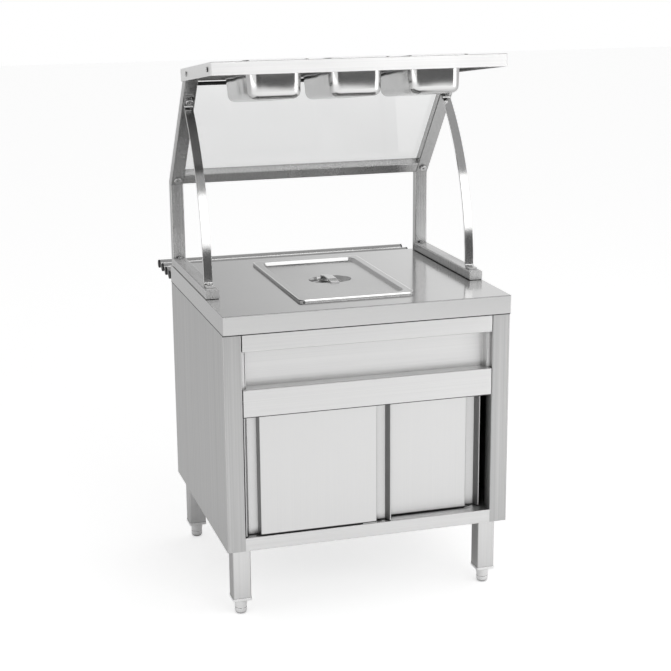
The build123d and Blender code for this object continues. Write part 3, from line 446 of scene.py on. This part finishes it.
def makeSteel(name, look, seed, wear=steelWear):
    material, tree, shader = startMaterial(name)
    spread = wear["spread"]
    stretch, streak = grainAlong[look["grain"]]
    lines = placeGroup(tree, brushing, {"Stretch": stretch, "Streak": streak})
    touch = placeGroup(tree, handling, {"Size": wear["cloudSize"], "Seed": float(seed)})
    radius = look.get("edge", wear["edge"])
    edges = placeGroup(tree, softEdges, {"Radius": radius, "Amount": wear["edgeAmount"]})
    streaks = mapRange(tree, lines.outputs["Streaks"], *spread, 0, 1)
    slow = mathNode(tree, "MULTIPLY", streaks, look["streak"])
    cloudy = mathNode(tree, "MULTIPLY", touch.outputs["Cloud"], wear["cloudShare"] - look["streak"])
    tone = mathNode(tree, "ADD", slow, cloudy)
    fine = mapRange(tree, lines.outputs["Lines"], *spread, 0, wear["lineShare"])
    tone = mathNode(tree, "ADD", tone, fine, clamp=True)
    base = mixColours(tree, tone, grey(look["dark"]), grey(look["bright"], wear["warm"]))
    # edges lifted to a brighter tone: painted highlight along folds and cut edges
    edgeHighlightTone = grey(min(look["bright"] + wear["edgeHighlightLift"], wear["edgeHighlightTop"]))
    edgeHighlighted = mixColours(tree, edges.outputs["Edge"], base, edgeHighlightTone)
    # painted shade in corners and on faces that point sideways, forward or down
    reach, depth = look.get("paintedShade", wear["paintedShade"])
    facing = look.get("facingShadeAndSmudge", (0, 0, 0))
    shaded = placeGroup(tree, paintedShade, {"Reach": reach, "Depth": depth, "Facing": facing})
    tree.links.new(edgeHighlighted, shaded.inputs["Color"])
    tree.links.new(shaded.outputs["Color"], shader.inputs["Base Color"])
    rough = mapRange(tree, touch.outputs["Cloud"], *spread, *look["rough"])
    lineRough = mathNode(tree, "MULTIPLY", lines.outputs["Lines"], wear["lineRough"])
    tree.links.new(mathNode(tree, "ADD", rough, lineRough), shader.inputs["Roughness"])
    bump = newNode(tree, "ShaderNodeBump")
    bump.inputs["Strength"].default_value = look["bump"]
    bump.inputs["Distance"].default_value = wear["bumpDepth"]
    tree.links.new(lines.outputs["Lines"], bump.inputs["Height"])
    tree.links.new(edges.outputs["Normal"], bump.inputs["Normal"])
    normal = bump.outputs["Normal"]
    if look.get("crowned"):
        bulge = newNode(tree, "ShaderNodeBump")
        bulge.inputs["Distance"].default_value = 1
        swollen = placeGroup(tree, crown, {})
        tree.links.new(swollen.outputs["Height"], bulge.inputs["Height"])
        tree.links.new(normal, bulge.inputs["Normal"])
        normal = bulge.outputs["Normal"]
    if look.get("steepRear"):
        wall = placeGroup(tree, steepWall, {})
        tree.links.new(normal, wall.inputs["Normal"])
        normal = wall.outputs["Normal"]
    tree.links.new(normal, shader.inputs["Normal"])
    shader.inputs["Metallic"].default_value = 1
    if look["grain"] != "none":
        shader.inputs["Anisotropic"].default_value = wear["anisotropic"]
    return material


# nylon, end caps and rubber: tones (0-255), roughness range and how deep the specks are
plastics = {
    "roller_nylon": {"dark": 214, "bright": 226, "rough": (0.4, 0.5), "bump": 0.1},
    "cap_plastic": {"dark": 6, "bright": 14, "rough": (0.42, 0.55), "bump": 0.06},
    "seal_rubber": {"dark": 14, "bright": 28, "rough": (0.6, 0.75), "bump": 0.2},
}

plasticWear = {
    "cloudSize": 30.0,
    "spread": (0.3, 0.7),
    "edge": 0.0008,
    "edgeAmount": 0.5,
    # how far the painted edge highlight lifts the bright tone, and its limit
    "edgeHighlightLift": 24,
    "edgeHighlightTop": 240,
    "bumpDepth": 0.0005,
}


def makePlastic(name, look, seed, wear=plasticWear):
    material, tree, shader = startMaterial(name)
    touch = placeGroup(tree, handling, {"Size": wear["cloudSize"], "Seed": float(seed)})
    edges = placeGroup(tree, softEdges, {"Radius": wear["edge"], "Amount": wear["edgeAmount"]})
    base = mixColours(tree, touch.outputs["Cloud"], grey(look["dark"]), grey(look["bright"]))
    # edges lifted to a brighter tone: painted highlight
    edgeHighlightTone = grey(min(look["bright"] + wear["edgeHighlightLift"], wear["edgeHighlightTop"]))
    edgeHighlighted = mixColours(tree, edges.outputs["Edge"], base, edgeHighlightTone)
    tree.links.new(edgeHighlighted, shader.inputs["Base Color"])
    rough = mapRange(tree, touch.outputs["Cloud"], *wear["spread"], *look["rough"])
    tree.links.new(rough, shader.inputs["Roughness"])
    bump = newNode(tree, "ShaderNodeBump")
    bump.inputs["Strength"].default_value = look["bump"]
    bump.inputs["Distance"].default_value = wear["bumpDepth"]
    tree.links.new(touch.outputs["Specks"], bump.inputs["Height"])
    tree.links.new(edges.outputs["Normal"], bump.inputs["Normal"])
    tree.links.new(bump.outputs["Normal"], shader.inputs["Normal"])
    return material


screenGlass = {
    "cloudSize": 2.5,
    "seed": 3.0,
    # the smudged, duller tint of the glass, and the clear tint where it is wiped
    "facingShadeAndSmudge": (0.904, 0.908, 0.907, 1),
    "clear": (0.92, 0.922, 0.922, 1),
    "wiped": (0.4, 0.8),
    "rough": (0.0, 0.03),
    "index": 1.45,
}


def makeGlass(name, look):
    material, tree, shader = startMaterial(name)
    touch = placeGroup(tree, handling, {"Size": look["cloudSize"], "Seed": look["seed"]})
    tint = mixColours(tree, touch.outputs["Cloud"], look["facingShadeAndSmudge"], look["clear"])
    tree.links.new(tint, shader.inputs["Base Color"])
    rough = mapRange(tree, touch.outputs["Cloud"], *look["wiped"], *look["rough"])
    tree.links.new(rough, shader.inputs["Roughness"])
    shader.inputs["Transmission Weight"].default_value = 1
    shader.inputs["IOR"].default_value = look["index"]
    return material


# the seed gives each finish its own clouds
plasticSeeds = 40
finishes = {}
for number, (slotName, look) in enumerate(steels.items()):
    finishes[slotName] = makeSteel(slotName, look, number)
for number, (slotName, look) in enumerate(plastics.items()):
    finishes[slotName] = makePlastic(slotName, look, number + plasticSeeds)
finishes["screen_glass"] = makeGlass("screen_glass", screenGlass)

# the bottom rail is brushed along its length, and its finish is a lit copy of the panel steel in brighter
# tones: painted light
railSeed = 60
litRailLook = {
    "dark": 196, "bright": 218, "rough": (0.34, 0.39), "grain": "x", "bump": 0.03, "streak": 0.3,
}
ownFinish = {"floor_panel": makeSteel("panel_steel_lit_rail", litRailLook, railSeed)}

slotOf = {entry["node"]: entry["material_slot"] for entry in frame["record"]["subparts"]}
for name, node in nodes.items():
    node.data.materials.clear()
    node.data.materials.append(ownFinish.get(name, finishes[slotOf[name]]))
print("finishes placed:", len(finishes))


# small trim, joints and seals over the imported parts
sharpAngle = 35
mitreLimit = 0.3


def finishPiece(name, shape, slotName, body, finish=None):
    bmesh.ops.recalc_face_normals(shape, faces=shape.faces)
    mesh = bpy.data.meshes.new(name)
    shape.to_mesh(mesh)
    shape.free()
    mesh.shade_smooth()
    mesh.set_sharp_from_angle(angle=math.radians(sharpAngle))
    mesh.materials.append(finish or finishes[slotName])
    piece = bpy.data.objects.new(name, mesh)
    bpy.context.scene.collection.objects.link(piece)
    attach(piece, body)


def sweepProfile(shape, route, profile, up=(0, 0, 1), closed=False):
    # profile points are (outward, upward), with outward on the right of the route
    up = Vector(up).normalized()
    route = [Vector(point) for point in route]
    count = len(route)
    rings = []
    for index, point in enumerate(route):
        before = point - route[index - 1] if closed or index else route[1] - point
        after = route[(index + 1) % count] - point if closed or index < count - 1 else before
        outward = (before.normalized() + after.normalized()).cross(up).normalized()
        outward /= max(outward.dot(before.normalized().cross(up).normalized()), mitreLimit)
        rings.append([shape.verts.new(point + outward * u + up * v) for u, v in profile])
    pairs = list(zip(rings, rings[1:]))
    if closed:
        pairs.append((rings[-1], rings[0]))
    else:
        shape.faces.new(rings[0])
        shape.faces.new(rings[-1])
    for first, second in pairs:
        for index in range(len(profile)):
            after = (index + 1) % len(profile)
            shape.faces.new((first[index], first[after], second[after], second[index]))


def beadProfile(width, height, steps=6):
    angles = [math.pi * (step / steps - 0.5) for step in range(steps + 1)]
    return [(width * math.cos(angle), height / 2 * math.sin(angle)) for angle in angles]


def roundedLoop(low, high, level, corner, steps=8):
    centres = ((high[0], low[1], -90), (high[0], high[1], 0), (low[0], high[1], 90), (low[0], low[1], 180))
    points = []
    for x, y, start in centres:
        cx = x - corner if x == high[0] else x + corner
        cy = y - corner if y == high[1] else y + corner
        for step in range(steps + 1):
            angle = math.radians(start + 90 * step / steps)
            points.append((cx + corner * math.cos(angle), cy + corner * math.sin(angle), level))
    return points


def ringRoute(centre, axis, radius, steps=28):
    axis = Vector(axis).normalized()
    across = axis.orthogonal().normalized()
    other = axis.cross(across)
    angles = [2 * math.pi * step / steps for step in range(steps)]
    return [Vector(centre) + (across * math.cos(a) + other * math.sin(a)) * radius for a in angles]


# dark rubber joint where the worktop's skirt meets the cupboard, also put there as painted shade for the
# shadow gap along that edge
worktopSealAndShadow = {"proud": 0.0004, "height": 0.0022, "sink": 0.3, "frontProud": 0.0009, "frontHeight": 0.0044}


def makeWorktopSealAndShadow(setup):
    low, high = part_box("worktop")
    front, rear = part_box("left_side_panel")[0].y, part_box("left_side_panel")[1].y
    shape = bmesh.new()
    profile = beadProfile(setup["proud"], setup["height"])
    level = low.z - setup["height"] * setup["sink"]
    sweepProfile(shape, ((high.x, front, level), (high.x, rear, level)), profile)
    sweepProfile(shape, ((low.x, rear, level), (low.x, front, level)), profile)
    level = low.z - setup["frontHeight"] / 2
    profile = beadProfile(setup["frontProud"], setup["frontHeight"])
    sweepProfile(shape, ((low.x, front, level), (high.x, front, level)), profile)
    finishPiece("worktopSealAndShadow", shape, "seal_rubber", "cabinet")


# rolled edge of the lid, whose slanted front catches the light; its finish is a brighter copy of the pan
# steel, a painted highlight, and its ends, which face along X, carry painted shade
lidRoll = {
    "corner": 0.016,
    "out": 0.0013,
    "slant": 0.00125,
    "drop": 0.0032,
    "lip": 0.00345,
    "turnIn": 0.0005,
    "inside": 0.003,
    "proud": 0.00005,
    "seed": 61,
}
lidRollLitLook = {
    "dark": 222, "bright": 234, "rough": (0.14, 0.2), "grain": "none", "bump": 0.01, "streak": 0.1,
    "paintedShade": (0.012, 0.1), "facingShadeAndSmudge": (0.9, 0, 0), "edge": 0.0003,
}


def makeLidRoll(setup):
    low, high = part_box("lid")
    out, inside, drop, lip = setup["out"], setup["inside"], setup["drop"], setup["lip"]
    profile = [
        (-inside, setup["proud"]),
        (out - setup["slant"], setup["proud"]),
        (out, -drop),
        (out - setup["turnIn"], -lip),
        (-inside, -lip),
    ]
    shape = bmesh.new()
    sweepProfile(shape, roundedLoop(low, high, high.z, setup["corner"]), profile, closed=True)
    finish = makeSteel("pan_steel_lit_roll", lidRollLitLook, setup["seed"])
    finishPiece("lidRoll", shape, "pan_steel", "pan_lid", finish)


# rubber channel on the upper edge of the glass
glassSeal = {
    "lean": 39,
    "half": 0.003,
    "gap": 0.00005,
    "seat": 0.0001,
    "wall": 0.001,
    "drop": 0.006,
    "crown": 0.0012,
    "shoulder": 0.6,
    "round": 0.0007,
    "end": 0.359,
}


def makeGlassSeal(setup):
    lean = math.radians(setup["lean"])
    along = Vector((0, -math.sin(lean), math.cos(lean)))
    # the highest corner is on the rear face, so the middle of the edge is half a thickness in front
    highest = max((vertex.co for vertex in nodes["glass"].data.vertices), key=lambda point: point.z)
    forward = Vector((0, -math.cos(lean), -math.sin(lean)))
    middle = Vector((0, highest.y, highest.z)) + forward * setup["half"]
    inner, outer = setup["half"] + setup["gap"], setup["half"] + setup["wall"]
    top, drop, seat = setup["crown"], setup["drop"], setup["seat"]
    shoulder, rounded = top * setup["shoulder"], outer - setup["round"]
    profile = [
        (-outer, -drop), (-inner, -drop), (-inner, seat), (inner, seat), (inner, -drop),
        (outer, -drop), (outer, shoulder), (rounded, top), (-rounded, top), (-outer, shoulder),
    ]
    shape = bmesh.new()
    ends = [middle + Vector((side * setup["end"], 0, 0)) for side in (-1, 1)]
    sweepProfile(shape, ends, profile, up=along)
    finishPiece("glassSeal", shape, "seal_rubber", "cabinet")


# black collars round the heads of the shelf and glass screws, standing in for nylon washers and for the
# dark reflection round the screw rims, a painted reflection
screwCollarsAndDarkReflection = {
    "inner": 0.0065,
    "outer": 0.0077,
    "proud": 0.0024,
    "chamfer": (0.6, 0.7),
    "shelf": ((-0.092, 1.4374), (-0.3622, 1.4691)),
    "shelfSide": 0.4,
    "glass": (0.3795, -0.0006, 1.3942),
    "glassAxis": (0, 0.777, 0.629),
}


def makeScrewCollarsAndDarkReflection(setup):
    inner, proud = setup["inner"], setup["proud"]
    wide = setup["outer"] - inner
    flat, rise = setup["chamfer"]
    profile = [(0, 0), (wide, 0), (wide, proud * rise), (wide * flat, proud), (0, proud)]
    shape = bmesh.new()
    for side in (-1, 1):
        for y, z in setup["shelf"]:
            axis = (side, 0, 0)
            route = ringRoute((side * setup["shelfSide"], y, z), axis, inner)
            sweepProfile(shape, route[::-1], profile, up=axis, closed=True)
        x, y, z = setup["glass"]
        route = ringRoute((side * x, y, z), setup["glassAxis"], inner)
        sweepProfile(shape, route[::-1], profile, up=setup["glassAxis"], closed=True)
    finishPiece("screwCollarsAndDarkReflection", shape, "cap_plastic", "cabinet")


# folded strips that close the ends of the recessed panel
fasciaEnds = {
    "line": 0.0012,
    "front": -0.438,
    "flange": 0.012,
    "thick": 0.0012,
    "pastBand": 0.002,
    "lift": 0.0003,
    "top": 0.75,
}


def makeFasciaEnds(setup):
    low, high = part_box("fascia_panel")
    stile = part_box("top_band")[1].x + setup["pastBand"]
    line, flange, thick = setup["line"], setup["flange"], setup["thick"]
    wide = stile - high.x - line
    profile = [(0, 0), (wide, 0), (wide, thick), (thick, thick), (thick, flange), (0, flange)]
    shape = bmesh.new()
    for side in (-1, 1):
        x = side * (high.x + line)
        ends = [(x, setup["front"], low.z + setup["lift"]), (x, setup["front"], setup["top"])]
        sweepProfile(shape, ends, [(-side * u, v) for u, v in profile], up=(0, 1, 0))
    finishPiece("fasciaEnds", shape, "front_steel", "cabinet")


# dark brush seal under the lower band, and the sweeps at the foot of the doors; both dark strips also serve
# as painted shade for the shadow lines there
doorTrims = {
    "bandDrop": 0.0022,
    "bandIn": 0.0007,
    "bandDeep": 0.0014,
    "bandTop": 0.0004,
    "bandBevel": 0.0003,
    "sweepProud": 0.0005,
    "sweepLow": 0.2392,
    "sweepHigh": 0.2418,
    "sweepEnd": 0.0275,
}


def makeDoorTrims(setup):
    low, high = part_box("lower_band")
    front, deep, drop = low.y + setup["bandIn"], setup["bandDeep"], setup["bandDrop"]
    top, bevel = setup["bandTop"], setup["bandBevel"]
    profile = [
        (0, top), (0, bevel - drop), (-bevel, -drop),
        (bevel - deep, -drop), (-deep, bevel - drop), (-deep, top),
    ]
    shape = bmesh.new()
    sweepProfile(shape, ((low.x, front, low.z), (high.x, front, low.z)), profile)
    finishPiece("bandSealAndShadow", shape, "seal_rubber", "cabinet")
    height = setup["sweepHigh"] - setup["sweepLow"]
    level = (setup["sweepHigh"] + setup["sweepLow"]) / 2
    for door in ("left_door", "right_door"):
        low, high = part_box(door + "_skin")
        ends = [(x, low.y, level) for x in (low.x + setup["sweepEnd"], high.x - setup["sweepEnd"])]
        shape = bmesh.new()
        sweepProfile(shape, ends, beadProfile(setup["sweepProud"], height))
        finishPiece(door + "SweepAndShadow", shape, "seal_rubber", door)


makeWorktopSealAndShadow(worktopSealAndShadow)
makeLidRoll(lidRoll)
makeGlassSeal(glassSeal)
makeScrewCollarsAndDarkReflection(screwCollarsAndDarkReflection)
makeFasciaEnds(fasciaEnds)
makeDoorTrims(doorTrims)
print("trim added")


# floor, room light and lamps
studio = {
    "floorTone": 0.9,
    "floorDrop": 0.0005,
    "floorHalf": 20,
    "floorFront": -5.0,
    "floorGlow": 0.5,
    "throughGlow": (0.34, 0.47),
    "throughDepth": (7, 15),
    "mirrorGlow": (0.6, 0.22),
    "mirrorDepth": (-1.2, 0.2),
    "shadowReach": (0.35, 0.7),
    "backdropEdge": (-0.45, -0.15),
    "upperBack": (0.04, 0.16),
    "upperBackSide": (0.16, 0.36),
    "upperBackDim": 0.52,
    "roomRise": (0.1, 0.7),
    "roomLow": 0.13,
    "roomHigh": 0.48,
    "ceilingRise": (0.5, 0.8),
    "aim": (0, -0.1, 0.9),
    "lamps": (
        ("softbox", (1.5, -4.6, 2.9), (3.2, 2.6), 48),
        ("leftPanel", (-2.9, -2.0, 1.3), (3.6, 1.8), 20),
        ("rightPanel", (2.9, -2.2, 0.9), (1.6, 1.8), 23),
    ),
}


def makeFloor(setup):
    mesh = bpy.data.meshes.new("floor")
    half, edge = setup["floorHalf"], setup["floorFront"]
    corners = [(-half, edge, 0), (half, edge, 0), (half, half, 0), (-half, half, 0)]
    mesh.from_pydata(corners, [], [(0, 1, 2, 3)])
    floor = bpy.data.objects.new("floor", mesh)
    floor.location.z = -setup["floorDrop"]
    bpy.context.scene.collection.objects.link(floor)
    material = bpy.data.materials.new("floorPaint")
    material.use_nodes = True
    tree = material.node_tree
    tree.nodes.clear()
    diffuse = newNode(tree, "ShaderNodeBsdfDiffuse")
    tone = setup["floorTone"]
    diffuse.inputs["Color"].default_value = (tone, tone, tone, 1)
    glow = newNode(tree, "ShaderNodeEmission")
    path = newNode(tree, "ShaderNodeLightPath")
    # in reflections the glow is a painted pool of light in front, where the lamps are, and a painted shadow
    # under the object
    geometry = newNode(tree, "ShaderNodeNewGeometry")
    distance = newNode(tree, "ShaderNodeVectorMath", operation="LENGTH")
    tree.links.new(geometry.outputs["Position"], distance.inputs[0])
    away = mapRange(tree, distance.outputs["Value"], *setup["shadowReach"], 0, 1)
    spot = newNode(tree, "ShaderNodeSeparateXYZ")
    tree.links.new(geometry.outputs["Position"], spot.inputs[0])
    inFront = mapRange(tree, spot.outputs["Y"], *setup["mirrorDepth"], *setup["mirrorGlow"])
    mirrored = mathNode(tree, "MULTIPLY", away, inFront)
    mirrored = mathNode(tree, "MULTIPLY", path.outputs["Is Glossy Ray"], mirrored)
    seen = mathNode(tree, "MULTIPLY", path.outputs["Is Camera Ray"], setup["floorGlow"])
    # through the glass the glow grows towards the back: painted light
    farther = mapRange(tree, spot.outputs["Y"], *setup["throughDepth"], *setup["throughGlow"])
    through = mathNode(tree, "MULTIPLY", path.outputs["Is Transmission Ray"], farther)
    level = mathNode(tree, "MAXIMUM", mirrored, mathNode(tree, "MAXIMUM", seen, through))
    tree.links.new(level, glow.inputs["Strength"])
    both = newNode(tree, "ShaderNodeAddShader")
    tree.links.new(diffuse.outputs[0], both.inputs[0])
    tree.links.new(glow.outputs[0], both.inputs[1])
    surface = newNode(tree, "ShaderNodeOutputMaterial")
    tree.links.new(both.outputs[0], surface.inputs[0])
    mesh.materials.append(material)


def mixValues(tree, mask, first, second):
    mix = newNode(tree, "ShaderNodeMix")
    tree.links.new(mask, mix.inputs["Factor"])
    for name, value in (("A", first), ("B", second)):
        if isinstance(value, (int, float)):
            mix.inputs[name].default_value = value
        else:
            tree.links.new(value, mix.inputs[name])
    return mix.outputs["Result"]


def makeWorld(setup):
    world = bpy.data.worlds.new("studio")
    bpy.context.scene.world = world
    world.use_nodes = True
    tree = world.node_tree
    tree.nodes.clear()
    coords = newNode(tree, "ShaderNodeTexCoord")
    parts = newNode(tree, "ShaderNodeSeparateXYZ")
    tree.links.new(coords.outputs["Generated"], parts.inputs[0])
    x, y, z = (parts.outputs[axis] for axis in "XYZ")
    # white backdrop behind and beside the object, dimmer high up on its left
    high = mapRange(tree, z, *setup["upperBack"], 0, 1)
    across = mapRange(tree, x, *setup["upperBackSide"], setup["upperBackDim"], 1)
    backdrop = mixValues(tree, high, 1, across)
    # the room in front is dark near the floor and grey above
    room = mapRange(tree, z, *setup["roomRise"], setup["roomLow"], setup["roomHigh"])
    behind = mapRange(tree, y, *setup["backdropEdge"], 0, 1)
    level = mixValues(tree, behind, room, backdrop)
    ceiling = mapRange(tree, z, *setup["ceilingRise"], 0, 1)
    level = mixValues(tree, ceiling, level, setup["roomHigh"])
    path = newNode(tree, "ShaderNodeLightPath")
    low = mathNode(tree, "SUBTRACT", 1, high, clamp=True)
    mirrored = mathNode(tree, "MULTIPLY", behind, low)
    mirrored = mathNode(tree, "MULTIPLY", path.outputs["Is Glossy Ray"], mirrored)
    seen = mathNode(tree, "MAXIMUM", path.outputs["Is Camera Ray"], path.outputs["Is Transmission Ray"])
    seen = mathNode(tree, "MAXIMUM", seen, mirrored)
    background = newNode(tree, "ShaderNodeBackground")
    background.inputs["Color"].default_value = (1, 1, 1, 1)
    tree.links.new(mixValues(tree, seen, level, 1), background.inputs["Strength"])
    surface = newNode(tree, "ShaderNodeOutputWorld")
    tree.links.new(background.outputs[0], surface.inputs[0])


def makeLamp(name, place, size, power, aim):
    data = bpy.data.lights.new(name, "AREA")
    data.shape = "RECTANGLE"
    data.size, data.size_y = size
    data.energy = power
    lamp = bpy.data.objects.new(name, data)
    lamp.location = place
    toward = Vector(aim) - Vector(place)
    lamp.rotation_euler = toward.to_track_quat("-Z", "Y").to_euler()
    lamp.visible_camera = False
    bpy.context.scene.collection.objects.link(lamp)


makeFloor(studio)
makeWorld(studio)
for lampName, lampPlace, lampSize, lampPower in studio["lamps"]:
    makeLamp(lampName, lampPlace, lampSize, lampPower, studio["aim"])
bpy.context.scene.view_settings.view_transform = "Standard"
print("studio lit")
